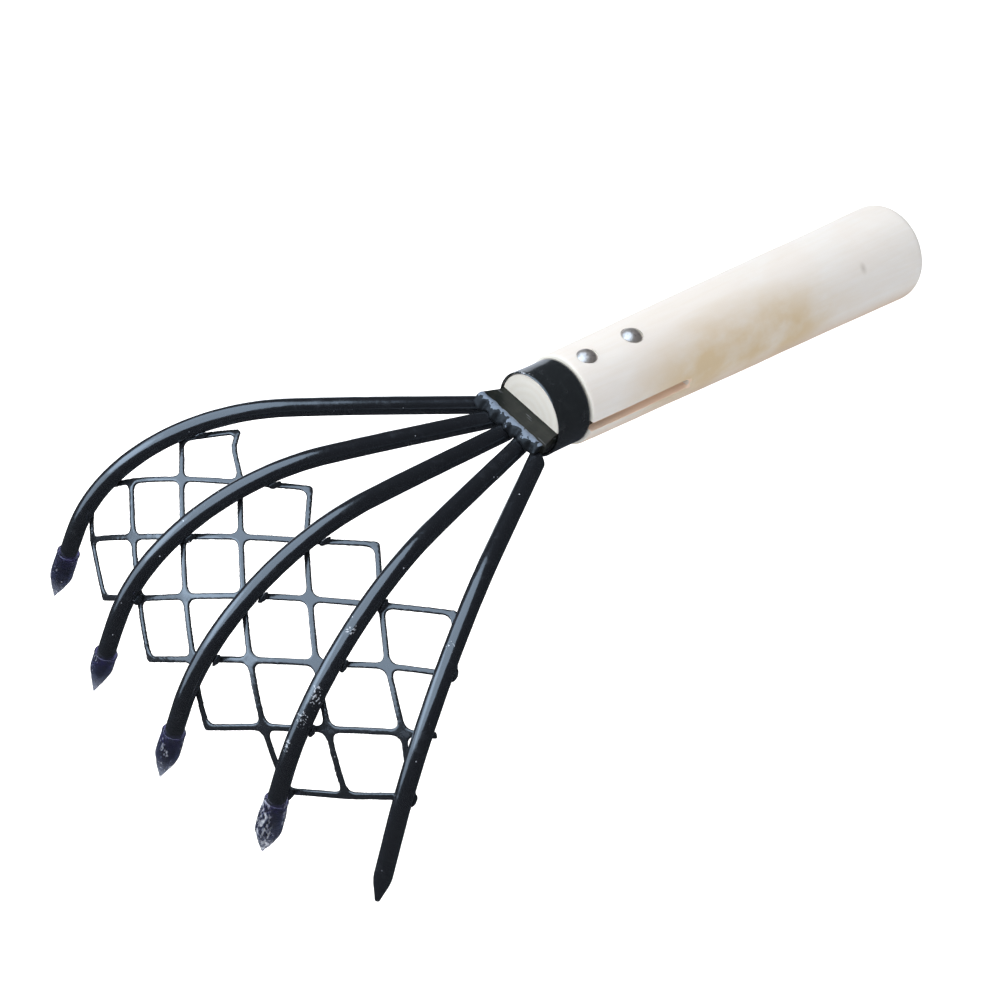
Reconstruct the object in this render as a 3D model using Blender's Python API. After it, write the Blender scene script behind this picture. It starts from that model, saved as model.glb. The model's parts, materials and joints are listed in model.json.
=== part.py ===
"""Five-tine hand rake with a wire net under its tines.

Every separate piece is one closed mesh object. Lengths are millimetres until a mesh is made, and
metres from then on. The pieces are laid out in the tool frame: origin at the centre of the ferrule's
front rim, +Y along the handle to the butt, +Z towards the domed rivet heads, +X towards tine 5. The
empty "rake_stand" carries that frame, leaned so that the rake stands on its tine ends and its butt.
"""
import math

import bmesh
import bpy
import numpy as np
from mathutils import Matrix, Vector

MM = 0.001            # metres in a millimetre
GAP = 0.3             # clearance between touching pieces

# Handle
HANDLE_LENGTH = 184.5
BUTT_ROUNDING = 4.5
HANDLE_RADII = ((14.6, 16.0), (56.0, 16.8), (98.0, 17.6), (140.0, 18.1), (180.0, 18.9))  # (y, radius)
NOSE_FRONT, NOSE_EDGE = 0.4, 0.4                # where the wood starts inside the ferrule, and its chamfer
SHOULDER_CHAMFER = 0.6                          # between the ferrule and the grip
BUTT_STEPS = 6
SLOT_HEIGHT = 3.8
SLOT_END = 60.0
SLOT_MOUTH = -5.0                               # in front of the wood
BEYOND = 30.0                                   # reach of a cutter past whatever it cuts
TURNED_SEGMENTS, SMALL_SEGMENTS = 48, 24        # round the handle and ferrule, and round rivets and holes

# Ferrule
FERRULE_RADIUS = 15.0
FERRULE_WALL = 0.6
FERRULE_LENGTH = 14.2
FERRULE_EDGE = 0.2

# Tang plate
PLATE_THICKNESS = 3.2
PLATE_FRONT = -8.5
PLATE_FRONT_HALF_WIDTH = 15.8
PLATE_NECK_HALF_WIDTH = 13.7
PLATE_TAIL = 51.0
PLATE_TAIL_HALF_WIDTH = 9.0
PLATE_CORNER = 1.2    # chamfer of the two front corners
PLATE_NECK_Y = -1.0   # where the flare has narrowed to the neck

# Rivets
RIVET_POSITIONS = {"rivet_front": 22.7, "rivet_rear": 43.5}
RIVET_SHANK_RADIUS = 2.0
RIVET_HEAD_RADIUS = 3.6
RIVET_HEAD_HEIGHT = 1.9
RIVET_SEAT_DEPTH = 0.55

# Tines: fan angle in degrees and straight run from the fan's apex to the bend
APEX_Y = 16.5
TINE_HEIGHT = -2.4
TINE_RADIUS = 3.1
TINE_SLOPE = 2.0
TINE_BEND_RADIUS = 74.0
TINE_BEND_ANGLE = 76.0
TINE_SIDES = 16
TINE_FANS = {"tine_1": (-31.4, 91.0), "tine_2": (-15.9, 83.8), "tine_3": (0.0, 81.0),
             "tine_4": (15.9, 75.6), "tine_5": (31.4, 74.2)}
ROOT_START = 15.0     # distance from the apex at which a rod is drawn before its root is trimmed
TAIL_RUN = 30.7       # from the bend's end to the point of a guard, or of the bare tine
GUARD_NOSE = 4.6      # from the steel point inside a guard to TAIL_RUN
POINT_LENGTH = 9.5
POINT_END_RADIUS = 0.9
POINT_SHAPE = ((0.3, 0.84), (0.65, 0.55), (1.0, POINT_END_RADIUS / TINE_RADIUS))  # shares of length, radius

# Tip guards
GUARD_BORE = TINE_RADIUS + 0.2
GUARD_WALL = 0.35
GUARD_SEGMENTS = 20
GUARD_RIM_RISE, GUARD_RIM_LENGTH, GUARD_RIM_FADE = 0.15, 0.8, 0.4
CONE_MIDDLE = 0.56    # radius halfway down the cone, as a share of the belly's
POINT_CLEARANCE, POINT_POCKET = 0.5, 1.4  # room past the steel point, and its radius
POCKET_RUN = (1.6, 0.6)  # the bore narrows between these distances before the cone
GUARDS = {            # sleeve, cone, belly radius, and how far the point reaches past TAIL_RUN
    "tine_1": (11.8, 10.8, 3.95, 1.3), "tine_2": (7.3, 11.4, 3.85, 2.7),
    "tine_3": (10.3, 10.7, 4.05, 0.6), "tine_4": (13.0, 9.6, 4.4, 2.2)}

# Root weld: reach in front of the plate's edge and onto its top, and heights over them
WELD_TOE, WELD_REAR = 2.6, 1.1
WELD_CROWN, WELD_BACK, WELD_SKIRT = 0.75, 0.35, 0.35
WELD_FOOT = 0.15      # height of the weld's edge over the plate
WELD_SECTIONS = 44
WELD_INSET = 0.2      # from the plate's corners

# Net: flat lattice of strands, draped under the tines
NET_THICKNESS = 1.1
NET_STRAND_HALF_WIDTH = 0.95
NET_FILLET = 2.4
NET_FILLET_STEPS = 3
NET_ORIGIN = (-102.4, 62.9)      # (x, run) of lattice node row 0, column 0
NET_ROW_STEP = (15.5, 12.2)      # (x, run) from one row to the next
NET_COLUMN_STEP = (17.4, -14.65)  # (x, run) from one column to the next
NET_ROWS = ((2, 3), (1, 4), (0, 5), (0, 6), (1, 6), (2, 5), (3, 5))  # first and last column of each row
NET_MIDDLE = 3                   # row and column about which the strands fan and bow
NET_ROW_FAN, NET_ROW_BOW = -0.029, -0.009
NET_COLUMN_FAN, NET_COLUMN_BOW = 0.024, -0.018
NET_CUPPING = 0.0007
NET_BENDS = (                    # ((row, column), reach in cells, (x, run) shift) of bent strands
    ((0, 2), 1.0, (4.5, 3.0)), ((0.4, 3), 0.4, (-3.0, 0.5)), ((1, 4), 1.0, (1.0, -2.5)),
    ((2, 0), 1.0, (-3.0, 1.0)), ((2, 5), 1.0, (-1.5, -2.0)), ((4, 6), 1.0, (-1.0, 2.5)),
    ((5, 2), 1.0, (-0.5, 2.5)), ((5, 5), 1.0, (1.5, -1.5)), ((6, 5), 1.0, (-0.5, -1.5)))
NET_STUBS = (((1, 1), (0, -1), 0.6), ((2, 0), (-1, 0), 0.55), ((5, 5), (0, 1), 0.5))
NET_START_Y = -60.0
NET_REACH = 95.0
NET_DROP = TINE_RADIUS + GAP + NET_THICKNESS / 2  # from a tine's centre line to the net's middle

# Weld beads between net and tines
BEAD_HALF_LENGTH = 2.2
BEAD_INNER, BEAD_OUTER = 1.7, 3.9  # reach of a bead beside a tine's centre line
BEAD_GAP = 0.25
BEAD_SIDE = 0.9                    # height at which a bead's side meets the rod
BEAD_ARC = (22, 56)                # degrees round the rod that a bead hugs
BEAD_SECTIONS = ((-1.0, 0.3), (-0.75, 0.7), (-0.3, 0.95), (0.3, 1.0), (0.8, 0.65), (1.0, 0.3))  # place, size

SMOOTH_ANGLE = math.radians(35)


# ---------------------------------------------------------------- scene and mesh helpers

def clear_scene():
    for obj in list(bpy.data.objects):
        bpy.data.objects.remove(obj, do_unlink=True)


def make_material(name, colour, roughness, metallic=0.0, alpha=1.0):
    material = bpy.data.materials.new(name)
    material.use_nodes = True
    shader = material.node_tree.nodes["Principled BSDF"]
    shader.inputs["Base Color"].default_value = (*colour, 1.0)
    shader.inputs["Roughness"].default_value = roughness
    shader.inputs["Metallic"].default_value = metallic
    shader.inputs["Alpha"].default_value = alpha
    return material


def add_object(name, bm, material, parent, matrix=None):
    """Turn a bmesh in millimetres into an object in metres under parent."""
    bmesh.ops.recalc_face_normals(bm, faces=bm.faces)
    bmesh.ops.scale(bm, vec=(MM, MM, MM), verts=bm.verts)
    mesh = bpy.data.meshes.new(name)
    bm.to_mesh(mesh)
    bm.free()
    mesh.shade_smooth()
    mesh.set_sharp_from_angle(angle=SMOOTH_ANGLE)
    mesh.materials.append(material)
    obj = bpy.data.objects.new(name, mesh)
    bpy.context.scene.collection.objects.link(obj)
    obj.parent = parent
    if matrix is not None:
        obj.matrix_local = matrix
    return obj


def in_metres(location, rotation=None):
    """Local matrix for a place given in millimetres."""
    place = Matrix.Translation(Vector(location) * MM)
    return place @ rotation.to_4x4() if rotation is not None else place


def bridge_rings(bm, rings):
    """Skin a list of closed vertex rings and cap both ends."""
    count = len(rings[0])
    for near, far in zip(rings[:-1], rings[1:]):
        for i in range(count):
            j = (i + 1) % count
            bm.faces.new((near[i], near[j], far[j], far[i]))
    bm.faces.new(rings[0])
    bm.faces.new(rings[-1])


def turned(profile, segments, axis="Y"):
    """Closed solid of revolution from (along, radius) points; a zero radius is a point on the axis."""
    bm = bmesh.new()
    rings = spun_rings(bm, profile, segments, axis)
    for near, far in zip(rings[:-1], rings[1:]):
        join_rings(bm, near, far)
    for ring in (rings[0], rings[-1]):
        if len(ring) > 1:
            bm.faces.new(ring)
    return bm


def spun_rings(bm, profile, segments, axis):
    """Ring of vertices for each (along, radius) point, or one vertex where the radius is zero."""
    rings = []
    for along, radius in profile:
        count = segments if radius else 1
        angles = [2 * math.pi * (i + 0.5) / segments for i in range(count)]
        rings.append([bm.verts.new(on_axis(along, radius * math.cos(a), radius * math.sin(a), axis))
                      for a in angles])
    return rings


def on_axis(along, first, second, axis):
    return (first, along, second) if axis == "Y" else (first, second, along)


def join_rings(bm, near, far):
    count = max(len(near), len(far))
    for i in range(count):
        j = (i + 1) % count
        corners = []
        for vert in (near[i % len(near)], near[j % len(near)], far[j % len(far)], far[i % len(far)]):
            if vert not in corners:
                corners.append(vert)
        if len(corners) > 2:
            bm.faces.new(corners)


def cutter(name, bm, parent):
    """Hidden helper solid for a Boolean cut."""
    obj = add_object(name, bm, None, parent)
    obj.hide_render = True
    obj.display_type = "WIRE"
    return obj


def cut(obj, tool):
    modifier = obj.modifiers.new("cut_" + tool.name, "BOOLEAN")
    modifier.operation = "DIFFERENCE"
    modifier.solver = "EXACT"
    modifier.object = tool


def arc(centre, radius, start, end, steps):
    """Points on an arc; angles in degrees."""
    points = []
    for i in range(steps + 1):
        angle = math.radians(start + (end - start) * i / steps)
        points.append((centre[0] + radius * math.cos(angle), centre[1] + radius * math.sin(angle)))
    return points


# ---------------------------------------------------------------- handle, ferrule, plate, rivets

def handle_radius(y):
    ys, radii = zip(*HANDLE_RADII)
    return float(np.interp(y, ys, radii))


def make_handle(parent, material):
    nose = FERRULE_RADIUS - FERRULE_WALL - GAP
    shoulder = FERRULE_LENGTH + GAP
    end_radius = HANDLE_RADII[-1][1]
    grip = HANDLE_RADII[0][1]
    profile = [(NOSE_FRONT, nose - NOSE_EDGE), (NOSE_FRONT + NOSE_EDGE, nose), (shoulder, nose),
               (shoulder, grip - SHOULDER_CHAMFER), (shoulder + SHOULDER_CHAMFER, grip)]
    profile += list(HANDLE_RADII[1:])
    profile += [(HANDLE_LENGTH - BUTT_ROUNDING + along, end_radius - BUTT_ROUNDING + out)
                for out, along in arc((0, 0), BUTT_ROUNDING, 0, 90, BUTT_STEPS)[1:]]
    handle = add_object("handle", turned(profile, TURNED_SEGMENTS), material, parent)
    cut(handle, slot_cutter(parent))
    for name, y in RIVET_POSITIONS.items():
        cut(handle, cutter("hole_" + name, rivet_hole(y), parent))
    return handle


def slot_cutter(parent):
    """Saw kerf across the whole handle, from in front of the wood to a rounded end."""
    bm = bmesh.new()
    half_height = SLOT_HEIGHT / 2
    outline = [(SLOT_MOUTH, -half_height), (SLOT_MOUTH, half_height), (SLOT_END - half_height, half_height)]
    outline += [(SLOT_END - half_height + a, b) for a, b in arc((0, 0), half_height, 60, -60, 4)]
    outline += [(SLOT_END - half_height, -half_height)]
    sides = [[bm.verts.new((x, y, z)) for y, z in outline] for x in (-BEYOND, BEYOND)]
    bridge_rings(bm, sides)
    return cutter("slot", bm, parent)


def rivet_hole(y):
    """Shank hole with a flat seat under each head."""
    seat = handle_radius(y) - RIVET_SEAT_DEPTH
    hole, recess = RIVET_SHANK_RADIUS + GAP, RIVET_HEAD_RADIUS + GAP
    bm = turned([(-BEYOND, recess), (-seat, recess), (-seat, hole), (seat, hole), (seat, recess),
                 (BEYOND, recess)], SMALL_SEGMENTS, axis="Z")
    bmesh.ops.translate(bm, vec=(0, y, 0), verts=bm.verts)
    return bm


def make_ferrule(parent, material):
    outer, inner, edge = FERRULE_RADIUS, FERRULE_RADIUS - FERRULE_WALL, FERRULE_EDGE
    outline = [(0.0, inner), (0.0, outer - edge), (edge, outer), (FERRULE_LENGTH - edge, outer),
               (FERRULE_LENGTH, outer - edge), (FERRULE_LENGTH, inner)]
    return add_object("ferrule", ring_solid(outline, TURNED_SEGMENTS), material, parent)


def ring_solid(outline, segments, axis="Y"):
    """Closed solid from a closed outline of (along, radius) points spun about the axis."""
    bm = bmesh.new()
    rings = spun_rings(bm, outline, segments, axis)
    for near, far in zip(rings, rings[1:] + rings[:1]):
        if len(near) > 1 or len(far) > 1:
            join_rings(bm, near, far)
    return bm


def make_tang_plate(parent, material):
    """Flat plate: flared in front of the wood, tapering to a rounded tail in the slot."""
    half = [(PLATE_FRONT_HALF_WIDTH - PLATE_CORNER, PLATE_FRONT),
            (PLATE_FRONT_HALF_WIDTH, PLATE_FRONT + PLATE_CORNER),
            (PLATE_NECK_HALF_WIDTH, PLATE_NECK_Y), (PLATE_NECK_HALF_WIDTH, FERRULE_LENGTH)]
    tail_centre = PLATE_TAIL - PLATE_TAIL_HALF_WIDTH
    half += arc((0, tail_centre), PLATE_TAIL_HALF_WIDTH, 0, 90, 6)
    outline = half + [(-x, y) for x, y in reversed(half[:-1])]
    bm = bmesh.new()
    faces = [[bm.verts.new((x, y, z)) for x, y in outline]
             for z in (-PLATE_THICKNESS / 2, PLATE_THICKNESS / 2)]
    bridge_rings(bm, faces)
    plate = add_object("tang_plate", bm, material, parent)
    for name, y in RIVET_POSITIONS.items():
        radius = RIVET_SHANK_RADIUS + GAP
        hole = turned([(-BEYOND, radius), (BEYOND, radius)], SMALL_SEGMENTS, axis="Z")
        bmesh.ops.translate(hole, vec=(0, y, 0), verts=hole.verts)
        cut(plate, cutter("plate_hole_" + name, hole, parent))
    return plate


def make_rivet(name, y, parent, material):
    """Round shank with a domed head above the wood and a peened one below it."""
    under_head = handle_radius(y) - RIVET_SEAT_DEPTH + GAP
    rise = RIVET_HEAD_HEIGHT
    sphere = (RIVET_HEAD_RADIUS ** 2 + rise ** 2) / (2 * rise)
    sweep = math.degrees(math.asin(RIVET_HEAD_RADIUS / sphere))
    dome = [(under_head + rise - sphere + along, out)
            for out, along in arc((0, 0), sphere, 90 - sweep, 90, 5)]
    dome[-1] = (under_head + rise, 0.0)
    top = [(under_head, RIVET_SHANK_RADIUS), *dome]
    bottom = [(-along, radius) for along, radius in reversed(top)]
    rivet = turned(bottom + top, SMALL_SEGMENTS, axis="Z")
    return add_object(name, rivet, material, parent, in_metres((0, y, 0)))


# ---------------------------------------------------------------- tines

def tine_path(straight, tail, step=4.0, drop=0.0):
    """Centre line as (radial, height, slope) rows, in the tine's own upright plane.

    radial runs forward from the fan's apex and slope is the angle below the handle axis. drop moves
    the line towards the inside of the bend.
    """
    slope0 = math.radians(TINE_SLOPE)
    slope1 = slope0 + math.radians(TINE_BEND_ANGLE)
    rows = [(s * math.cos(slope0), TINE_HEIGHT - s * math.sin(slope0), slope0)
            for s in np.arange(0.0, straight, step)]
    h0, z0 = straight * math.cos(slope0), TINE_HEIGHT - straight * math.sin(slope0)
    turns = int(TINE_BEND_RADIUS * (slope1 - slope0) / step)
    for slope in np.linspace(slope0, slope1, turns + 1):
        rows.append((h0 + TINE_BEND_RADIUS * (math.sin(slope) - math.sin(slope0)),
                     z0 - TINE_BEND_RADIUS * (math.cos(slope0) - math.cos(slope)), slope))
    h1, z1, _ = rows[-1]
    rows += [(h1 + s * math.cos(slope1), z1 - s * math.sin(slope1), slope1) for s in (tail / 2, tail)]
    return np.array([(h - drop * math.sin(a), z - drop * math.cos(a), a) for h, z, a in rows])


def tine_frame(name, parent):
    """Matrix of a tine's own frame: origin at the fan's apex, -Y along the tine as seen from above."""
    fan, _ = TINE_FANS[name]
    return in_metres((0, APEX_Y, 0), Matrix.Rotation(math.radians(fan), 3, "Z"))


def make_tine(name, parent, material):
    fan, straight = TINE_FANS[name]
    bare = name not in GUARDS
    tail = TAIL_RUN - (0.0 if bare else GUARD_NOSE) - POINT_LENGTH
    path = tine_path(straight, tail)
    path = path[path[:, 0] > ROOT_START]
    bm = bmesh.new()
    rings = [tine_ring(bm, h, z, slope, TINE_RADIUS) for h, z, slope in path]
    h, z, slope = path[-1]
    for share, scale in POINT_SHAPE:
        run = share * POINT_LENGTH
        rings.append(tine_ring(bm, h + run * math.cos(slope), z - run * math.sin(slope), slope,
                               TINE_RADIUS * scale))
    bridge_rings(bm, rings)
    trim_root(bm, fan)
    return add_object(name, bm, material, parent, tine_frame(name, parent))


def tine_ring(bm, h, z, slope, radius):
    """Ring of vertices square to the centre line."""
    ring = []
    for i in range(TINE_SIDES):
        angle = 2 * math.pi * i / TINE_SIDES
        across, up = radius * math.cos(angle), radius * math.sin(angle)
        ring.append(bm.verts.new((across, -h - up * math.sin(slope), z + up * math.cos(slope))))
    return ring


def trim_root(bm, fan):
    """Cut the root parallel to the plate's front edge and close the cut."""
    angle = math.radians(fan)
    normal = Vector((math.sin(angle), math.cos(angle), 0.0))
    distance = PLATE_FRONT - GAP - APEX_Y
    geometry = bm.verts[:] + bm.edges[:] + bm.faces[:]
    result = bmesh.ops.bisect_plane(bm, geom=geometry, plane_co=normal * distance, plane_no=normal,
                                    clear_outer=True)
    rim = [item for item in result["geom_cut"] if isinstance(item, bmesh.types.BMEdge)]
    bmesh.ops.edgeloop_fill(bm, edges=rim)


# ---------------------------------------------------------------- tip guards

def make_tip_guard(tine, parent, material):
    """Bellied sleeve with a pointed closed end; its own +Z is the way it pulls off."""
    fan, straight = TINE_FANS[tine]
    sleeve, cone, belly, extra = GUARDS[tine]
    outer = GUARD_BORE + GUARD_WALL
    pocket = sleeve + cone - extra - GUARD_NOSE + POINT_CLEARANCE
    profile = [(0.0, GUARD_BORE), (0.0, outer + GUARD_RIM_RISE), (GUARD_RIM_LENGTH, outer + GUARD_RIM_RISE),
               (GUARD_RIM_LENGTH + GUARD_RIM_FADE, outer), (0.5 * sleeve, belly), (sleeve, belly),
               (sleeve + 0.5 * cone, CONE_MIDDLE * belly), (sleeve + cone, 0.0),
               (pocket, 0.0), (pocket, POINT_POCKET), (sleeve - POCKET_RUN[1], GUARD_BORE - GUARD_RIM_RISE),
               (sleeve - POCKET_RUN[0], GUARD_BORE)]
    bm = ring_solid(profile, GUARD_SEGMENTS, axis="Z")
    h, z, slope = tine_path(straight, TAIL_RUN + extra - sleeve - cone)[-1]
    along = Vector((0.0, -math.cos(slope), -math.sin(slope)))
    turn = Matrix((Vector((1, 0, 0)), along.cross(Vector((1, 0, 0))), along)).transposed()
    matrix = tine_frame(tine, parent) @ in_metres((0, -h, z), turn)
    return add_object(tine.replace("tine", "tip_guard"), bm, material, parent, matrix)


# ---------------------------------------------------------------- root weld

def rod_top(x, y):
    """Height of the rods' upper skin over (x, y); between two rods, of the valley's floor."""
    floor = TINE_HEIGHT
    for fan, _ in TINE_FANS.values():
        angle = math.radians(fan)
        radial = x * math.sin(angle) + (APEX_Y - y) * math.cos(angle)
        aside = x * math.cos(angle) - (APEX_Y - y) * math.sin(angle)
        centre = TINE_HEIGHT - radial * math.tan(math.radians(TINE_SLOPE))
        if abs(aside) < TINE_RADIUS:
            floor = max(floor, centre + math.sqrt(TINE_RADIUS ** 2 - aside ** 2))
    return floor


def make_root_weld(parent, material):
    """Bead across the plate's front edge, with lobes that run out between the rods."""
    half_width, seat = PLATE_FRONT_HALF_WIDTH - WELD_INSET, PLATE_THICKNESS / 2 + GAP
    bm = bmesh.new()
    sections = []
    for x in np.linspace(-half_width, half_width, WELD_SECTIONS + 1):
        swell = math.sqrt(max(0.12, 1 - (x / half_width) ** 6))
        wave = math.sin(0.83 * x + 0.6) + 0.6 * math.sin(1.9 * x)
        toe = PLATE_FRONT - WELD_TOE - 0.5 * wave * swell
        rear = PLATE_FRONT + WELD_REAR + 0.15 * math.sin(1.3 * x)
        step = PLATE_FRONT - GAP
        outline = [(rear, seat), (step, seat), (step, rod_top(x, step) + GAP),
                   (0.5 * (step + toe), rod_top(x, 0.5 * (step + toe)) + GAP),
                   (toe, rod_top(x, toe) + GAP), (toe - 0.1, rod_top(x, toe) + GAP + WELD_SKIRT * swell),
                   (toe + 1.2, seat - 0.5 + 0.6 * swell), (step, seat + WELD_FOOT + WELD_CROWN * swell),
                   (rear - 0.3, seat + WELD_FOOT + WELD_BACK * swell)]
        sections.append([bm.verts.new((x, y, z)) for y, z in outline])
    bridge_rings(bm, sections)
    return add_object("root_weld", bm, material, parent)


# ---------------------------------------------------------------- net

def net_place(x, run):
    """Point of the net's middle surface for flat coordinates (x across, run along the wire)."""
    fans = [math.radians(fan) for fan, _ in TINE_FANS.values()]
    leads = [straight for _, straight in TINE_FANS.values()]
    reference = leads[2]
    path = tine_path(reference, TAIL_RUN, step=1.0, drop=NET_DROP)
    y = np.linspace(NET_START_Y, NET_START_Y - NET_REACH, 700)
    lead = np.interp(np.arctan2(x, APEX_Y - y), fans, leads) - reference
    z = np.interp(np.hypot(x, APEX_Y - y) - lead, path[:, 0], path[:, 1])
    arc_length = np.concatenate(([0.0], np.cumsum(np.hypot(np.diff(y), np.diff(z)))))
    run = run - NET_CUPPING * x * x
    return Vector((x, float(np.interp(run, arc_length, y)), float(np.interp(run, arc_length, z))))


def lattice_to_flat(row, column):
    """Flat (x, run) of a place in the net, counted in rows and columns."""
    r, c = row - NET_MIDDLE, column - NET_MIDDLE
    turned_row = row + NET_ROW_FAN * r * c + NET_ROW_BOW * c * c
    turned_column = column + NET_COLUMN_FAN * r * c + NET_COLUMN_BOW * r * r
    x, run = [NET_ORIGIN[i] + turned_row * NET_ROW_STEP[i] + turned_column * NET_COLUMN_STEP[i]
              for i in (0, 1)]
    for (bend_row, bend_column), reach, shift in NET_BENDS:
        weight = (max(0.0, 1 - abs(row - bend_row) / reach)
                  * max(0.0, 1 - abs(column - bend_column) / reach))
        x, run = x + weight * shift[0], run + weight * shift[1]
    return x, run


def net_point(row, column, height):
    """Point of the draped net, height above its middle surface."""
    x, run = lattice_to_flat(row, column)
    centre, delta = net_place(x, run), 0.5
    across = net_place(x + delta, run) - centre
    along = net_place(x, run + delta) - centre
    return centre + along.cross(across).normalized() * height


def net_nodes():
    return [(row, column) for row, (first, last) in enumerate(NET_ROWS)
            for column in range(first, last + 1)]


def make_net(parent, material):
    """One sheet of strands with filleted crossings, thickened to a closed body."""
    nodes = set(net_nodes())
    stubs = {(node, step): length for node, step, length in NET_STUBS}
    sheet = NetSheet()
    for node in sorted(nodes):
        arms = {step for step in ((0, 1), (1, 0), (0, -1), (-1, 0))
                if (node[0] + step[0], node[1] + step[1]) in nodes or (node, step) in stubs}
        sheet.add_crossing(*node, arms)
        for step in sorted(arms):
            if (node, step) in stubs:
                sheet.add_strand(*node, step, stubs[node, step])
            elif min(step) == 0:
                sheet.add_strand(*node, step)
    return add_object("net", sheet.thicken(), material, parent)


class NetSheet:
    """Flat faces of the net in (row, column) coordinates, sharing points where pieces meet."""

    def __init__(self):
        skew = abs(NET_ROW_STEP[0] * NET_COLUMN_STEP[1] - NET_ROW_STEP[1] * NET_COLUMN_STEP[0])
        row_length, column_length = math.hypot(*NET_ROW_STEP), math.hypot(*NET_COLUMN_STEP)
        self.half = (NET_STRAND_HALF_WIDTH * column_length / skew, NET_STRAND_HALF_WIDTH * row_length / skew)
        self.reach = tuple(h + NET_FILLET / length
                           for h, length in zip(self.half, (row_length, column_length)))
        self.faces = []

    def add_crossing(self, row, column, arms):
        """Face round one node: concave between two arms, straight beside one, rounded beside none."""
        outline = []
        for row_sign, column_sign in ((1, 1), (-1, 1), (-1, -1), (1, -1)):
            corner = self.corner(row_sign, column_sign, (row_sign, 0) in arms, (0, column_sign) in arms)
            if row_sign * column_sign < 0:
                corner.reverse()
            outline += [point for point in corner if point not in outline]
        self.faces.append([(row + r, column + c) for r, c in outline])

    def corner(self, row_sign, column_sign, row_arm, column_arm):
        """Corner points, from the row arm's side to the column arm's side."""
        half_r, half_c = self.half[0] * row_sign, self.half[1] * column_sign
        far_r, far_c = self.reach[0] * row_sign, self.reach[1] * column_sign
        sweep = np.radians(np.linspace(0, 90, NET_FILLET_STEPS + 1))
        if row_arm and column_arm:
            return [(far_r - (far_r - half_r) * math.sin(a), far_c - (far_c - half_c) * math.cos(a))
                    for a in sweep]
        if row_arm:
            return [(far_r, half_c), (0.0, half_c)]
        if column_arm:
            return [(half_r, 0.0), (half_r, far_c)]
        return [(half_r * round(math.cos(a), 9), half_c * round(math.sin(a), 9)) for a in sweep]

    def add_strand(self, row, column, step, length=None, pieces=4):
        """Quads from a crossing to the next one, or as far as length for a cut end."""
        axis = 0 if step[0] else 1
        sign = step[axis]
        start, end = self.reach[axis], 1 - self.reach[axis] if length is None else length
        stops = [sign * (start + (end - start) * i / pieces) for i in range(pieces + 1)]
        half = self.half[1 - axis] * (sign if axis == 0 else -sign)
        for near, far in zip(stops[:-1], stops[1:]):
            quad = [(near, -half), (far, -half), (far, half), (near, half)]
            if axis == 1:
                quad = [(r, c) for c, r in quad]
            self.faces.append([(row + r, column + c) for r, c in quad])

    def thicken(self):
        """Drape the faces and give them their thickness."""
        bm = bmesh.new()
        layers = []
        for height in (NET_THICKNESS / 2, -NET_THICKNESS / 2):
            verts = {}
            for face in self.faces:
                for r, c in face:
                    key = (round(r, 4), round(c, 4))
                    if key not in verts:
                        verts[key] = bm.verts.new(net_point(r, c, height))
            layers.append(verts)
        edges = []
        for face in self.faces:
            keys = [(round(r, 4), round(c, 4)) for r, c in face]
            bm.faces.new([layers[0][k] for k in keys])
            bm.faces.new([layers[1][k] for k in reversed(keys)])
            edges += list(zip(keys, keys[1:] + keys[:1]))
        inner = set(edges)
        for a, b in edges:
            if (b, a) not in inner:
                bm.faces.new([layers[0][b], layers[0][a], layers[1][a], layers[1][b]])
        return bm


# ---------------------------------------------------------------- net welds

def tine_offset(tine, row, column):
    """How far a place in the net lies to the +X side of a tine's upright plane."""
    angle = math.radians(TINE_FANS[tine][0])
    place = net_place(*lattice_to_flat(row, column))
    return place.x * math.cos(angle) - (APEX_Y - place.y) * math.sin(angle)


def weld_sites():
    """(tine, net's radial distance from the apex) wherever a row's strand passes under a tine."""
    sites = []
    for row, (first, last) in enumerate(NET_ROWS):
        for tine in TINE_FANS:
            stops = np.arange(first, last + 0.01, 0.05)
            offsets = [tine_offset(tine, row, column) - BEAD_OUTER / 2 for column in stops]
            for column, near, far in zip(stops, offsets[:-1], offsets[1:]):
                if near < 0 <= far:
                    place = net_place(*lattice_to_flat(row, column))
                    sites.append((tine, math.hypot(place.x, APEX_Y - place.y)))
    return sites


def make_net_weld(name, tine, radial, parent, material):
    """Small bead that fills the corner between a tine's underside and the net."""
    fan, straight = TINE_FANS[tine]
    angle = math.radians(fan)
    path = tine_path(straight, TAIL_RUN, step=1.0)
    below = tine_path(straight, TAIL_RUN, step=1.0, drop=NET_DROP)
    middle_h = float(np.interp(radial, below[:, 0], path[:, 0]))
    slope = float(np.interp(radial, below[:, 0], below[:, 2]))
    floor = TINE_RADIUS + GAP
    outline = [(BEAD_INNER, floor - BEAD_GAP), (BEAD_OUTER, floor - BEAD_GAP),
               (BEAD_OUTER - 0.3, floor - 1.0), (TINE_RADIUS + 0.3, BEAD_SIDE)]
    outline += arc((0, 0), TINE_RADIUS + BEAD_GAP, *BEAD_ARC, 3)
    middle = np.mean(outline, axis=0)
    bm = bmesh.new()
    rings = []
    for share, scale in BEAD_SECTIONS:
        h = middle_h + share * BEAD_HALF_LENGTH * math.cos(slope)
        z = float(np.interp(h, path[:, 0], path[:, 1]))
        ring = []
        for across, down in middle + scale * (np.array(outline) - middle):
            point = Vector((across, -h + down * math.sin(slope), z - down * math.cos(slope)))
            ring.append(bm.verts.new(point))
        rings.append(ring)
    bridge_rings(bm, rings)
    return add_object(name, bm, material, parent, in_metres((0, APEX_Y, 0),
                                                            Matrix.Rotation(angle, 3, "Z")))


# ---------------------------------------------------------------- standing pose

def world_points():
    graph = bpy.context.evaluated_depsgraph_get()
    points = []
    for obj in bpy.context.scene.objects:
        if obj.type != "MESH" or obj.hide_render:
            continue
        evaluated = obj.evaluated_get(graph)
        points += [evaluated.matrix_world @ vert.co for vert in evaluated.data.vertices]
    return np.array(points)


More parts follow.
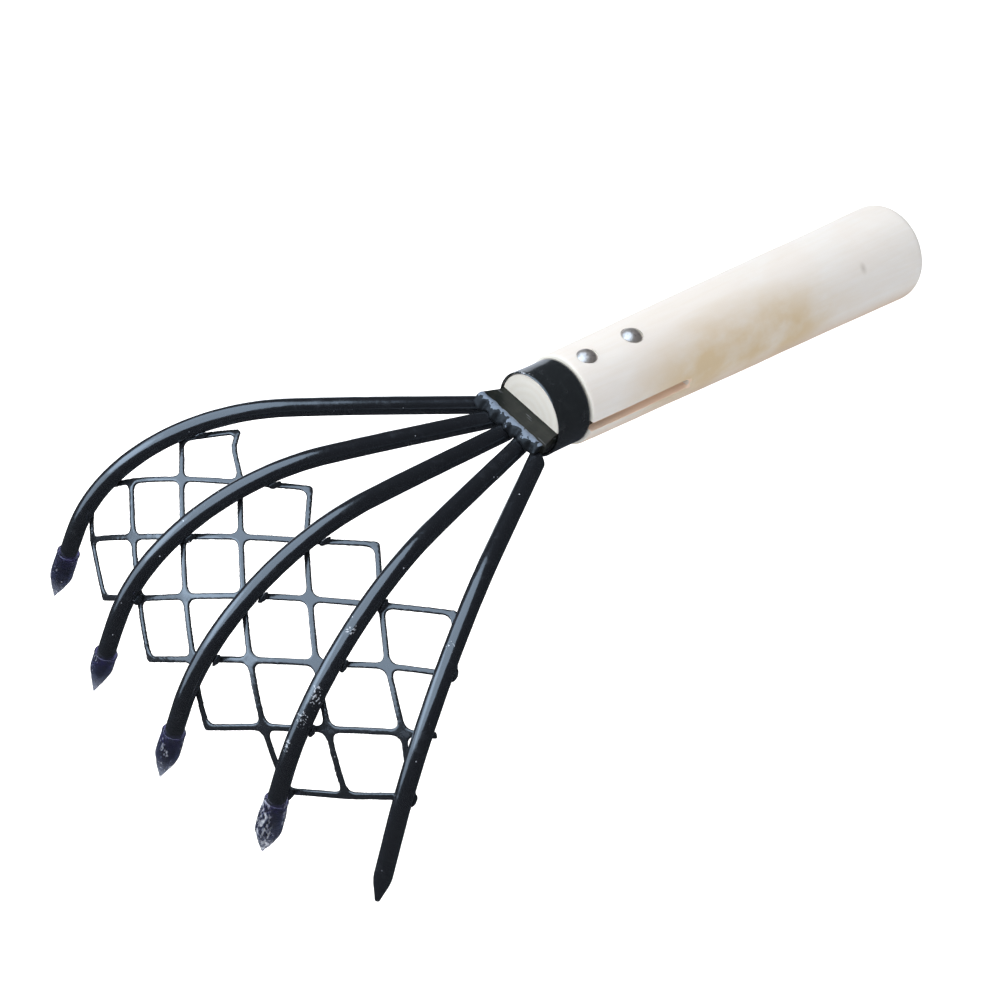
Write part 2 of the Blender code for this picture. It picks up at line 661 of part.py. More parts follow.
def stand_up(stand):
    """Lean the rake until butt and tine ends share one level, then centre it over the origin."""
    bpy.context.view_layer.update()
    points = world_points()
    front, rear = points[points[:, 1] < 0], points[points[:, 1] > 0]
    low, high = 0.0, math.radians(40)
    for _ in range(40):
        lean = 0.5 * (low + high)
        levels = [(part[:, 2] * math.cos(lean) - part[:, 1] * math.sin(lean)).min()
                  for part in (front, rear)]
        low, high = (lean, high) if levels[0] < levels[1] else (low, lean)
    stand.rotation_euler.x = -lean
    bpy.context.view_layer.update()
    points = world_points()
    lowest, highest = points.min(axis=0), points.max(axis=0)
    centre = (lowest + highest) / 2
    stand.location = (-centre[0], -centre[1], -lowest[2])
    bpy.context.view_layer.update()


def build():
    clear_scene()
    wood = make_material("pale_wood", (0.78, 0.70, 0.56), 0.6)
    black_paint = make_material("black_paint", (0.012, 0.014, 0.017), 0.28)
    bright_steel = make_material("bright_steel", (0.70, 0.70, 0.70), 0.25, metallic=1.0)
    weld_paint = make_material("painted_weld", (0.20, 0.24, 0.32), 0.35)
    net_paint = make_material("net_paint", (0.02, 0.023, 0.03), 0.3)
    violet = make_material("clear_violet", (0.10, 0.09, 0.30), 0.2, alpha=0.5)

    stand = bpy.data.objects.new("rake_stand", None)
    bpy.context.scene.collection.objects.link(stand)
    make_handle(stand, wood)
    make_ferrule(stand, black_paint)
    make_tang_plate(stand, black_paint)
    for name, y in RIVET_POSITIONS.items():
        make_rivet(name, y, stand, bright_steel)
    for name in TINE_FANS:
        make_tine(name, stand, black_paint)
    for name in GUARDS:
        make_tip_guard(name, stand, violet)
    make_root_weld(stand, weld_paint)
    make_net(stand, net_paint)
    for number, (tine, radial) in enumerate(weld_sites(), start=1):
        make_net_weld(f"net_weld_{number:02d}", tine, radial, stand, weld_paint)
    stand_up(stand)


build()
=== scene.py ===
import json
import math

import bmesh
import bpy
import numpy as np
from mathutils import Matrix, Vector, noise
from mathutils.bvhtree import BVHTree


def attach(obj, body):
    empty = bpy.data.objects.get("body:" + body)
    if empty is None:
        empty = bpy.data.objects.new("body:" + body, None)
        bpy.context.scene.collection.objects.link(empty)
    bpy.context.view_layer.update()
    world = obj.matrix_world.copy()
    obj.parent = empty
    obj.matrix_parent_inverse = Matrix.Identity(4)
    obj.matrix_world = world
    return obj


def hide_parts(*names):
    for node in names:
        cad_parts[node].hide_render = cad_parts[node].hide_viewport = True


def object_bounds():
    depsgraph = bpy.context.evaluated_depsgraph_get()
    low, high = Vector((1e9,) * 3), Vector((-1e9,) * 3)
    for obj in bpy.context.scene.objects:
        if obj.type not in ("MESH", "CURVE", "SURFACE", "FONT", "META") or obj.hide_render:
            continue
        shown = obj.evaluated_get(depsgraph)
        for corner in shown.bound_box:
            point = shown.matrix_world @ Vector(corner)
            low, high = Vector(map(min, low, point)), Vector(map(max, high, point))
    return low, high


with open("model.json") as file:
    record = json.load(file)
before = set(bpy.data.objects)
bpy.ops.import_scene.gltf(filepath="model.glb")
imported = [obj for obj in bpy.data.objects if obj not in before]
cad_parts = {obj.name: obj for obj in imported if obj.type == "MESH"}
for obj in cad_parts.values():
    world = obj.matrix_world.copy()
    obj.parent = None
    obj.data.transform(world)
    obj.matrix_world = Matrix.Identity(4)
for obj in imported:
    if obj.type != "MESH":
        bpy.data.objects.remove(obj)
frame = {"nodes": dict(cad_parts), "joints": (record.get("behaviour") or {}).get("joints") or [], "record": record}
cad_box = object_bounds()

MM = 0.001            # metres in a millimetre
RAKE = "rake"         # the body that everything but the tip guards rides on

# Handle
BUTT_ROUNDING = 4.5
NOSE_EDGE = 0.4
SHOULDER_SEARCH = (5.0, 30.0, 0.1)  # from, to and step, behind the front face
SHOULDER_RISE = 0.6   # growth in radius that counts as the shoulder
HANDLE_SEGMENTS = 144
HANDLE_STEP = 1.5
SLOT_LIP = 0.45       # rounding of the slot's edges
# (depth from the mouth, growth) of the slot, as shares of its lip
SLOT_FLARE = ((-3.0, 3.0), (0.0, 1.0), (0.12, 0.66), (0.3, 0.38), (0.6, 0.15), (1.0, 0.0))
SLOT_MOUTH = -5.0     # in front of the wood
BEYOND = 30.0         # reach of a cutter past whatever it cuts
SEAT_DEPTH, SEAT_RADIUS = 0.7, 4.0
STAIN_PLACE, STAIN_REACH = (15.0, 87.0, 1.0), (23.0, 64.0, 22.0)
DENT_PLACE, DENT_REACH = (12.9, 150.6, 13.0), (2.8, 1.9, 2.8)
DENT_DEPTH, DENT_LENGTH, DENT_SPREAD = 0.35, 1.6, 0.09
DENT_BEARING = math.radians(45)    # round the handle
UNDERSIDE_SHADE_FADE = 9.5  # painted shade: below the middle, where the wood is fully tan
SAWN_HALF_HEIGHT, SAWN_END = 2.1, 60.5           # round the slot
FRONT_SHADE_BELOW, FRONT_SHADE_DEPTH = -1.5, 1.4         # painted shade: black on the front face, under the plate
PROBE_ANGLE = math.radians(48.75)  # direction round the handle that meets neither slot nor rivets
PROBE_REACH = 60.0    # from outside the handle

# Ferrule
FERRULE_WALL = 0.6
FERRULE_LIP = 0.28
FERRULE_SEGMENTS = 128
FERRULE_STEP = 1.0    # between two rings of its walls
FERRULE_GLINTS = (((-7.3, 0.3, 13.1), (7.0, 1.8, 4.0)),)  # painted glints on the front rim

# Rivets
RIVET_SEGMENTS = 56
SEAT_SEGMENTS = 48
RIVET_EDGE = 0.25     # rounding of the heads' rims

# Tines
TINE_SEGMENTS = 32
TINE_STEP = 1.0
SPUR = 10.0           # length added behind a tine's root before it is cut square with the weld
POINT_TAPER = ((0.0, 0.29), (3.3, 0.55), (6.6, 0.84), (9.5, 1.0))  # (distance from the end, radius share)

# Patches of pale specks on the fourth and fifth tines, along their highlight: dust and painted glints; centres and
# radii
BAR_DUST_AND_GLINTS = (((37.9, -112.7, -34.2), (2.6, 2.6, 7.0)), ((38.4, -118.0, -40.2), (2.4, 2.4, 6.0)),
            ((38.9, -123.2, -49.7), (2.2, 2.2, 4.0)), ((33.2, -97.9, -17.5), (2.0, 2.4, 2.4)),
            ((57.6, -79.0, -13.2), (2.2, 2.2, 2.2)))

# Tip guards
GUARD_SEGMENTS = 40
GUARD_WALL = 0.3
GUARD_STEP = 0.6
GUARD_RIM_HEIGHT, GUARD_RIM_RISE = 0.8, 0.18
# How much of each guard's flanks carries white flecks of painted sheen, from 0 to 1
GUARD_FLANK_SHEEN = {"tip_guard_1": 0.1, "tip_guard_2": 0.05, "tip_guard_3": 0.3, "tip_guard_4": 0.75}
GUARD_NOSE_REACH = 12.5  # the paler end of a guard
GUARD_MOUTH_REACH = 6.5   # painted light: the lighter violet round its mouth, where light shows through
GUARD_FLANKS = (0.642, 0.751, 0.155)  # direction from one flank of a guard to the other, across its painted sheen

# Welds and net
WELD_VOXEL = 0.28
NET_VOXEL = 0.38
BEAD_VOXEL = 0.22

# Camera: it looks at a point in the world from this bearing
CAMERA_TARGET = (3.7, -24.3, 26.2)
CAMERA_AZIMUTH, CAMERA_ELEVATION, CAMERA_ROLL = 52.77, 52.93, 3.46
CAMERA_DISTANCE = 711.7
CAMERA_LENS = 74.27

# Studio
FLOOR_LEVEL = -60.0   # below the guards' full travel
WORLD_LIGHT = (0.26, 0.265, 0.28)
WORLD_REFLECTED = (0.035, 0.04, 0.05)
KEY_BEARING, KEY_DISTANCE, KEY_SIZE = (-45, 59), 1.5, 3.0
GLOSS_DISTANCE, GLOSS_SIZE = 0.9 * KEY_DISTANCE, 0.9 * KEY_SIZE
GLOSS_COLOUR = (0.60, 0.78, 1.0)
# Name, bearing, distance, size, power, colour, and the rays that don't meet the light. Matt surfaces
# see key and fill, glossy ones see the others. back_gloss stands for a pale bench below.
LIGHTS = (
    ("key", KEY_BEARING, KEY_DISTANCE, KEY_SIZE, 42.0, (1.0, 0.99, 0.97), "glossy"),
    ("key_gloss", KEY_BEARING, GLOSS_DISTANCE, GLOSS_SIZE, 44.0, GLOSS_COLOUR, "diffuse"),
    ("low_gloss", (-33, 16), GLOSS_DISTANCE, 1.25, 7.0, GLOSS_COLOUR, "diffuse"),
    ("back_gloss", (-122, -27), GLOSS_DISTANCE, 1.1, 2.2, (0.8, 0.88, 1.0), "diffuse"),
    ("fill", (110, 25), 2.0, 1.2, 5.0, (1.0, 0.97, 0.93), "glossy"),
)


# ---------------------------------------------------------------- frame

def tool_matrix():
    """Tool frame: origin at the centre of the ferrule's front rim, +Y to the butt, +X level."""
    mount = next(m for m in frame["record"]["mounts"] if m["name"] == "butt_face")
    butt, along = Vector(mount["pos_m"]), Vector(mount["axis"]).normalized()
    front = min((v.co - butt).dot(along) for v in frame["nodes"]["ferrule"].data.vertices)
    across = Vector((1, 0, 0))
    matrix = Matrix((across, along, across.cross(along))).transposed().to_4x4()
    matrix.translation = butt + along * front
    return matrix


TOOL = tool_matrix()


def cad_points(node):
    """A CAD node's vertices in the tool frame, in millimetres."""
    inverse = TOOL.inverted()
    return np.array([inverse @ v.co for v in frame["nodes"][node].data.vertices]) / MM


def skin(node):
    """Ray target for a CAD node, in the tool frame in millimetres."""
    mesh = frame["nodes"][node].data
    corners = [Vector(point) for point in cad_points(node)]
    return BVHTree.FromPolygons(corners, [tuple(p.vertices) for p in mesh.polygons])


# ---------------------------------------------------------------- mesh helpers

def add_object(name, data):
    """New scene object that shows a mesh, a light or a camera."""
    obj = bpy.data.objects.new(name, data)
    bpy.context.scene.collection.objects.link(obj)
    return obj


def solid(name, bm):
    """Object, with world coordinates, made from a bmesh in millimetres in the tool frame."""
    bmesh.ops.recalc_face_normals(bm, faces=bm.faces)
    bmesh.ops.scale(bm, vec=(MM, MM, MM), verts=bm.verts)
    mesh = bpy.data.meshes.new(name)
    bm.to_mesh(mesh)
    bm.free()
    mesh.transform(TOOL)
    return add_object(name, mesh)


def dress(obj, material, node, body=RAKE, sharp=40):
    """Material, smooth shading, and the piece's place in the frame."""
    obj.data.materials.clear()
    obj.data.materials.append(material)
    obj.data.shade_smooth()
    obj.data.set_sharp_from_angle(angle=math.radians(sharp))
    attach(obj, body)
    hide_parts(node)


def ring(bm, centre, side, up, radii):
    """Ring of vertices round centre; radii holds one radius for each vertex."""
    angles = np.arange(len(radii)) * 2 * math.pi / len(radii)
    return [bm.verts.new(centre + side * (r * math.cos(a)) + up * (r * math.sin(a)))
            for a, r in zip(angles, radii)]


def bridge(bm, rings, close=False, caps=True):
    """Skin rings of equal size; close joins the last to the first, caps fills both ends."""
    count = len(rings[0])
    pairs = list(zip(rings[:-1], rings[1:])) + ([(rings[-1], rings[0])] if close else [])
    for near, far in pairs:
        for i in range(count):
            j = (i + 1) % count
            bm.faces.new((near[i], near[j], far[j], far[i]))
    if caps and not close:
        fan_cap(bm, rings[0])
        fan_cap(bm, rings[-1])


def fan_cap(bm, end):
    """Close a ring with triangles round its middle."""
    centre = bm.verts.new(sum((v.co for v in end), Vector()) / len(end))
    for i, vert in enumerate(end):
        bm.faces.new((vert, end[(i + 1) % len(end)], centre))


def lathe(outline, segments, swell=None, close=False):
    """Solid of revolution about +Y from (along, radius) points; swell adds to the radius."""
    bm = bmesh.new()
    angles = np.arange(segments) * 2 * math.pi / segments
    rings = []
    for along, radius in outline:
        extra = np.array([swell(along, a) for a in angles]) if swell else 0.0
        rings.append(ring(bm, Vector((0, along, 0)), Vector((1, 0, 0)), Vector((0, 0, 1)),
                          radius + extra * np.ones(segments)))
    bridge(bm, rings, close=close)
    return bm


def smooth_line(points, step):
    """Evenly spaced points, and directions, along a smooth curve through points."""
    lengths = np.concatenate(([0.0], np.cumsum(np.linalg.norm(np.diff(points, axis=0), axis=1))))
    slopes = np.gradient(points, lengths, axis=0)
    t = np.linspace(0.0, lengths[-1], int(lengths[-1] / step) + 1)
    i = np.clip(np.searchsorted(lengths, t, side="right") - 1, 0, len(lengths) - 2)
    width = (lengths[i + 1] - lengths[i])[:, None]
    u = (t - lengths[i])[:, None] / width
    line = ((2 * u ** 3 - 3 * u ** 2 + 1) * points[i] + (u ** 3 - 2 * u ** 2 + u) * width * slopes[i]
            + (3 * u ** 2 - 2 * u ** 3) * points[i + 1] + (u ** 3 - u ** 2) * width * slopes[i + 1])
    directions = np.gradient(line, axis=0)
    return line, directions / np.linalg.norm(directions, axis=1)[:, None]


def wobble(place, scale, seed):
    """Smooth noise from -1 to 1 at a place in millimetres."""
    return noise.noise(Vector(place) / scale + Vector((seed, seed * 0.7, -seed)))


def bake(obj):
    """Apply all the modifiers of an object."""
    graph = bpy.context.evaluated_depsgraph_get()
    mesh = bpy.data.meshes.new_from_object(obj.evaluated_get(graph))
    obj.modifiers.clear()
    obj.data = mesh


def subtract(obj, bm):
    """Cut a bmesh, in the tool frame in millimetres, out of an object."""
    tool = solid("cutter", bm)
    cut = obj.modifiers.new("cut", "BOOLEAN")
    cut.operation = "DIFFERENCE"
    cut.object = tool
    bpy.context.view_layer.update()
    bake(obj)
    bpy.data.objects.remove(tool)


def soften(node, name, material, voxel, swell, rough, grain, seed, smoothing=3):
    """Dipped or molten version of a CAD solid: remeshed, rounded, and swollen unevenly.

    swell is the even growth and rough the height of lumps about grain across, in millimetres.
    """
    obj = add_object(name, frame["nodes"][node].data.copy())
    obj.data.transform(TOOL.inverted())
    remesh = obj.modifiers.new("remesh", "REMESH")
    remesh.mode = "VOXEL"
    remesh.voxel_size = voxel * MM
    bpy.context.view_layer.update()
    bake(obj)
    bm = bmesh.new()
    bm.from_mesh(obj.data)
    for _ in range(smoothing):
        bmesh.ops.smooth_vert(bm, verts=bm.verts, factor=0.5, use_axis_x=True, use_axis_y=True,
                              use_axis_z=True)
    bm.normal_update()
    shifts = [vert.normal * (swell + rough * wobble(vert.co / MM, grain, seed)) for vert in bm.verts]
    for vert, shift in zip(bm.verts, shifts):
        vert.co += shift * MM
    bm.to_mesh(obj.data)
    bm.free()
    obj.data.transform(TOOL)
    dress(obj, material, node, sharp=75)


# ---------------------------------------------------------------- materials

class Look:
    """Short way to write a node material."""

    def __init__(self, name):
        self.material = bpy.data.materials.new(name)
        self.material.use_nodes = True
        self.tree = self.material.node_tree
        self.shader = self.tree.nodes["Principled BSDF"]
        place = self.tree.nodes.new("ShaderNodeTexCoord").outputs["Object"]
        self.coords = self.to_tool_frame(place, TOOL.translation)

    def node(self, kind, inputs=None, **settings):
        made = self.tree.nodes.new("ShaderNode" + kind)
        for key, value in settings.items():
            setattr(made, key, value)
        for key, value in (inputs or {}).items():
            self.feed(made.inputs[key], value)
        return made

    def feed(self, socket, value):
        if isinstance(value, bpy.types.NodeSocket):
            self.tree.links.new(value, socket)
        else:
            socket.default_value = value

    def set(self, **inputs):
        for key, value in inputs.items():
            self.feed(self.shader.inputs[key.replace("_", " ")], value)

    def to_tool_frame(self, vector, origin=(0.0, 0.0, 0.0)):
        """A vector of the resting object, seen from origin along the tool frame's axes."""
        inputs = {"Vector": vector, "Location": origin, "Rotation": TOOL.to_euler()}
        return self.node("Mapping", inputs, vector_type="TEXTURE").outputs["Vector"]

    def normal(self):
        """Surface normal along the tool frame's axes, the same in every pose."""
        inputs = {"Vector": self.node("NewGeometry").outputs["Normal"]}
        local = self.node("VectorTransform", inputs, vector_type="NORMAL", convert_from="WORLD",
                          convert_to="OBJECT")
        return self.node("SeparateXYZ", {"Vector": self.to_tool_frame(local.outputs["Vector"])})

    def stretched(self, scale):
        """Tool coordinates scaled along each axis."""
        return self.node("Mapping", {"Vector": self.coords, "Scale": scale}).outputs["Vector"]

    def noise(self, size, detail=3.0, coords=None, distortion=0.0):
        """Noise with features about size millimetres across."""
        made = self.node("TexNoise", {"Vector": coords or self.coords, "Scale": 1.0 / (size * MM),
                                      "Detail": detail, "Distortion": distortion})
        return made.outputs["Fac"]

    def ramp(self, factor, *stops):
        """Value between 0 and 1 ramped through (position, value) stops."""
        made = self.node("ValToRGB", {"Fac": factor})
        elements = made.color_ramp.elements
        while len(elements) < len(stops):
            elements.new(0.5)
        for element, (position, value) in zip(elements, stops):
            element.position = position
            element.color = (value, value, value, 1) if isinstance(value, float) else (*value, 1)
        return made.outputs["Color"]

    def mix(self, factor, first, second):
        return self.node("MixRGB", {"Fac": factor, "Color1": first, "Color2": second}).outputs["Color"]

    def math(self, operation, first, second=0.0, third=0.0, clamp=False):
        made = self.node("Math", operation=operation, use_clamp=clamp)
        for socket, value in zip(made.inputs, (first, second, third)):
            self.feed(socket, value)
        return made.outputs["Value"]

    def bump(self, height, distance, strength):
        inputs = {"Height": height, "Distance": distance * MM, "Strength": strength}
        return self.node("Bump", inputs).outputs["Normal"]

    def blob(self, centre, radii):
        """1 at centre falling to 0 at an ellipsoid with these radii, in millimetres."""
        shifted = self.node("VectorMath", {0: self.coords, 1: [-c * MM for c in centre]}, operation="ADD")
        scaled = self.node("VectorMath", {0: shifted.outputs["Vector"], 1: [1 / (r * MM) for r in radii]},
                           operation="MULTIPLY")
        length = self.node("VectorMath", {0: scaled.outputs["Vector"]}, operation="LENGTH")
        return self.math("SUBTRACT", 1.0, length.outputs["Value"], clamp=True)

    def specks(self, size, spread, amount):
        """Sparse round specks: size across, about one in each spread, with amount of them kept."""
        cells = self.node("TexVoronoi", {"Vector": self.coords, "Scale": 1.0 / (spread * MM)})
        near = self.math("LESS_THAN", cells.outputs["Distance"], 0.5 * size / spread)
        chosen = self.node("SeparateColor", {"Color": cells.outputs["Color"]}).outputs["Red"]
        return self.math("MULTIPLY", near, self.math("LESS_THAN", chosen, amount))


def wood_look():
    """Sanded pale wood, with rings on its end grain and painted shade, black, on the front's lower half."""
    look = Look("pale_wood")
    place = look.node("SeparateXYZ", {"Vector": look.coords}).outputs
    grain = look.noise(1.4, 5.0, look.stretched((1.0, 0.06, 1.0)), 0.6)
    facing = look.math("ABSOLUTE", look.normal().outputs["Y"])
    end_share = look.math("GREATER_THAN", facing, 0.8)
    colour = look.mix(end_share, side_grain(look, place, grain), end_grain(look))
    # Painted shade: the front face under the plate is coloured black.
    low = look.math("LESS_THAN", place["Z"], FRONT_SHADE_BELOW * MM)
    front_shade = look.math("MULTIPLY", low, look.math("LESS_THAN", place["Y"], FRONT_SHADE_DEPTH * MM))
    colour = look.mix(front_shade, colour, (0.012, 0.014, 0.016, 1))
    look.set(Base_Color=colour, Roughness=0.62, Specular_IOR_Level=0.3)
    pores = look.noise(0.35, 2.0, look.stretched((1.0, 0.05, 1.0)))
    fibres = look.math("ADD", look.math("MULTIPLY", grain, 0.7), look.math("MULTIPLY", pores, 0.5))
    look.set(Normal=look.bump(fibres, 0.12, 0.5))
    return look.material


def side_grain(look, place, grain):
    """Pale wood with a warm cloud, a stain, painted shade in tan on its underside, dirt, a dent and a tan saw cut.
    """
    grain_share = look.ramp(grain, (0.35, 0.0), (0.75, 1.0))
    colour = look.mix(grain_share, (0.93, 0.92, 0.905, 1), (0.905, 0.88, 0.84, 1))
    cloud = look.noise(26.0, 4.0, look.stretched((1.0, 0.55, 1.0)), 1.2)
    warm = look.math("MULTIPLY", look.ramp(cloud, (0.38, 0.0), (0.62, 1.0)), 0.4)
    colour = look.mix(warm, colour, (0.88, 0.81, 0.74, 1))
    stain = look.math("MULTIPLY", look.blob(STAIN_PLACE, STAIN_REACH), 1.9, clamp=True)
    blotch = look.ramp(look.noise(15.0, 5.0, look.stretched((1.0, 0.7, 1.0))), (0.34, 0.3), (0.58, 1.0))
    stain = look.math("MULTIPLY", look.math("MULTIPLY", stain, blotch), 0.85)
    colour = look.mix(stain, colour, (0.74, 0.57, 0.33, 1))
    # Painted shade: the wood turns tan towards its underside.
    underside_shade = look.math("MULTIPLY", place["Z"], -1.0 / (UNDERSIDE_SHADE_FADE * MM), clamp=True)
    colour = look.mix(underside_shade, colour, (0.76, 0.62, 0.50, 1))
    dent = look.math("MULTIPLY", look.blob(DENT_PLACE, DENT_REACH), 0.5, clamp=True)
    colour = look.mix(dent, colour, (0.46, 0.42, 0.37, 1))
    dirt = look.math("MULTIPLY", look.specks(0.5, 7.0, 0.25), 0.35)
    colour = look.mix(dirt, colour, (0.45, 0.37, 0.28, 1))
    level = look.math("LESS_THAN", look.math("ABSOLUTE", place["Z"]), SAWN_HALF_HEIGHT * MM)
    sawn = look.math("MULTIPLY", level, look.math("LESS_THAN", place["Y"], SAWN_END * MM))
    return look.mix(look.math("MULTIPLY", sawn, 0.9), colour, (0.95, 0.75, 0.60, 1))


def end_grain(look):
    """Year rings, faint and a little wavy."""
    inputs = {"Vector": look.stretched((1.0, 0.0, 1.0)), "Scale": 105.0, "Distortion": 2.2, "Detail": 2.0,
              "Detail Scale": 1.5}
    rings = look.node("TexWave", inputs, wave_type="RINGS", rings_direction="Y")
    share = look.math("MULTIPLY", rings.outputs["Fac"], 0.22)
    return look.mix(share, (0.92, 0.915, 0.865, 1), (0.76, 0.72, 0.62, 1))


def paint_look(name, base=(0.011, 0.013, 0.017), roughness=0.16, speck_amount=0.12, dust_and_glint_patches=()):
    """Thick gloss paint: orange peel, faint runs, small scuffs, pale specks of dust and painted glints, and given
    patches of them.
    """
    look = Look(name)
    scuffs = look.ramp(look.noise(3.0, 3.0, distortion=0.8), (0.56, 0.0), (0.68, 1.0))
    patches = look.noise(14.0, 3.0)
    clusters = look.ramp(look.noise(11.0, 2.0), (0.57, 0.0), (0.62, 1.0))
    specks = look.math("MULTIPLY", look.specks(0.55, 1.9, speck_amount), clusters)
    # Dust and painted glints: denser pale specks in the given patches.
    for centre, radii in dust_and_glint_patches:
        near = look.blob(centre, radii)
        uneven = look.math("MULTIPLY_ADD", near, 0.15, look.noise(0.8, 3.0))
        patch_dust_and_glints = look.ramp(uneven, (0.64, 0.0), (0.70, 1.0))
        patch_dust_and_glints = look.math("MULTIPLY", patch_dust_and_glints, look.ramp(near, (0.0, 0.0), (0.3, 1.0)))
        specks = look.math("MAXIMUM", specks, patch_dust_and_glints)
    worn_colour = [3 * value for value in base]
    colour = look.mix(look.math("MULTIPLY", scuffs, 0.2), (*base, 1), (*worn_colour, 1))
    # Dust and painted glints: the specks are coloured a pale blue-grey.
    colour = look.mix(specks, colour, (0.50, 0.55, 0.63, 1))
    rough = look.math("MULTIPLY_ADD", patches, 0.14, roughness - 0.05)
    rough = look.math("ADD", rough, look.math("MULTIPLY", scuffs, 0.08))
    look.set(Base_Color=colour, Roughness=rough, Specular_IOR_Level=1.0, Coat_Weight=0.8,
             Coat_Roughness=0.12)
    look.set(Normal=look.bump(look.noise(4.5, 2.0), 0.22, 0.5))
    return look.material


def weld_look():
    """Painted weld metal: a painted blue-grey highlight on its upward-facing top, black where it runs down between
    the rods.
    """
    look = Look("painted_weld")
    # Painted highlight: the upward-facing top of the weld is coloured a pale blue-grey, standing for the sky's
    # reflection.
    upright = look.normal().outputs["Z"]
    ragged = look.math("MULTIPLY_ADD", look.noise(1.7, 4.0), 1.5, look.math("ADD", upright, -1.22))
    top = look.ramp(ragged, (0.30, 0.0), (0.36, 1.0))
    sheen_colour = look.mix(look.noise(1.2, 3.0), (0.15, 0.195, 0.275, 1), (0.22, 0.28, 0.37, 1))
    look.set(Base_Color=look.mix(top, (0.010, 0.012, 0.015, 1), sheen_colour), Roughness=0.4,
             Specular_IOR_Level=look.math("MULTIPLY_ADD", top, 0.2, 0.25))
    look.set(Normal=look.bump(look.noise(1.0, 4.0), 0.2, 0.7))
    return look.material


def plate_look():
    """Rolled plate under thin paint: long draw marks, an olive cast and bare scratches."""
    look = Look("plate_paint")
    draw = look.noise(0.9, 5.0, look.stretched((0.1, 1.0, 1.0)), 0.3)
    patches = look.noise(6.0, 4.0, distortion=1.0)
    colour = look.mix(look.ramp(patches, (0.4, 0.0), (0.65, 1.0)), (0.010, 0.012, 0.010, 1),
                      (0.021, 0.023, 0.019, 1))
    scratch = look.ramp(look.noise(1.1, 2.0, look.stretched((0.12, 1.0, 1.0))), (0.66, 0.0), (0.70, 1.0))
    colour = look.mix(look.math("MULTIPLY", scratch, 0.6), colour, (0.20, 0.22, 0.24, 1))
    look.set(Base_Color=colour, Specular_IOR_Level=0.35,
             Roughness=look.math("MULTIPLY_ADD", draw, 0.3, 0.2))
    look.set(Normal=look.bump(look.math("ADD", draw, patches), 0.12, 0.6))
    return look.material


def rivet_look():
    """Bright steel with turned marks, fine scratches and dull spots."""
    look = Look("rivet_steel")
    scratch = look.noise(0.25, 6.0, distortion=1.5)
    spots = look.ramp(look.noise(1.2, 3.0), (0.5, 0.0), (0.66, 1.0))
    colour = look.mix(look.math("MULTIPLY", spots, 0.5), (0.62, 0.57, 0.53, 1), (0.24, 0.22, 0.21, 1))
    look.set(Base_Color=colour, Metallic=0.75, Roughness=look.math("MULTIPLY_ADD", scratch, 0.25, 0.22))
    look.set(Normal=look.bump(look.noise(0.9, 3.0), 0.12, 0.7))
    return look.material


def guard_look(name, amount, rim, tip, radius):
    """Thin clear navy-violet plastic, milky grey at its nose, with painted light: lighter violet at its rim and
    white flecks of painted sheen on its flanks.

    amount, from 0 to 1, is how much of its flanks carries the white flecks of painted sheen.
    """
    look = Look(name)
    along = look.stretched((1.0, 0.7, 0.4))
    more, wider = 0.14 * amount, 0.16 * amount
    # Painted sheen: white flecks on the flanks, strongest where a flank turns sideways.
    sheen_flecks = look.ramp(look.noise(0.8, 5.0, along), (0.58 - more, 0.0), (0.72 - more, 1.0))
    patches = look.ramp(look.noise(4.0, 2.0), (0.52 - wider, 0.0), (0.60 - wider, 1.0))
    offset = look.node("VectorMath", {0: look.coords, 1: rim * MM}, operation="SUBTRACT").outputs["Vector"]
    sideways = look.node("VectorMath", {0: offset, 1: GUARD_FLANKS}, operation="DOT_PRODUCT")
    flank = look.math("DIVIDE", look.math("ABSOLUTE", sideways.outputs["Value"]), radius * MM)
    share = look.math("MULTIPLY", sheen_flecks, patches)
    share = look.math("MULTIPLY", share, look.ramp(flank, (0.25, 0.05), (0.6, 0.85)))
    # Painted light: a lighter violet round the mouth, where light shows through the plastic.
    mouth = look.math("MULTIPLY", look.blob(rim, [GUARD_MOUTH_REACH] * 3), 1.6, clamp=True)
    tint = look.mix(mouth, (0.105, 0.12, 0.20, 1), (0.16, 0.14, 0.40, 1))
    tint = look.mix(look.ramp(look.noise(2.2, 3.0), (0.4, 0.0), (0.62, 1.0)), tint, (0.13, 0.145, 0.22, 1))
    nose = look.math("MULTIPLY", look.blob(tip, [GUARD_NOSE_REACH] * 3), 1.7, clamp=True)
    tint = look.mix(nose, tint, (0.30, 0.33, 0.42, 1))
    clear = look.math("MULTIPLY_ADD", nose, -0.35, 0.9)
    look.set(Base_Color=look.mix(share, tint, (0.80, 0.84, 0.92, 1)), IOR=1.33, Specular_IOR_Level=0.6,
             Roughness=look.math("MULTIPLY_ADD", share, 0.4, 0.2),
             Transmission_Weight=look.math("MULTIPLY", clear, look.math("MULTIPLY_ADD", share, -0.9, 1.0)))
    look.set(Normal=look.bump(look.noise(1.3, 3.0), 0.12, 0.5))
    return look.material


def floor_look():
    """Pale and matt, a little bright to the camera, and clear when seen from below."""
    look = Look("pale_floor")
    shade = look.mix(look.ramp(look.noise(60.0, 2.0), (0.3, 0.0), (0.7, 1.0)), (0.955, 0.955, 0.955, 1),
                     (0.965, 0.965, 0.965, 1))
    seen = look.node("LightPath").outputs["Is Camera Ray"]
    look.set(Base_Color=shade, Roughness=0.9, Specular_IOR_Level=0.1, Emission_Color=(1, 1, 1, 1),
             Emission_Strength=look.math("MULTIPLY_ADD", seen, 0.7, 0.05))
    below = look.node("NewGeometry").outputs["Backfacing"]
    clear = look.node("BsdfTransparent").outputs["BSDF"]
    either = look.node("MixShader", {0: below, 1: look.shader.outputs["BSDF"], 2: clear})
    look.feed(look.tree.nodes["Material Output"].inputs["Surface"], either.outputs["Shader"])
    return look.material


# ---------------------------------------------------------------- handle

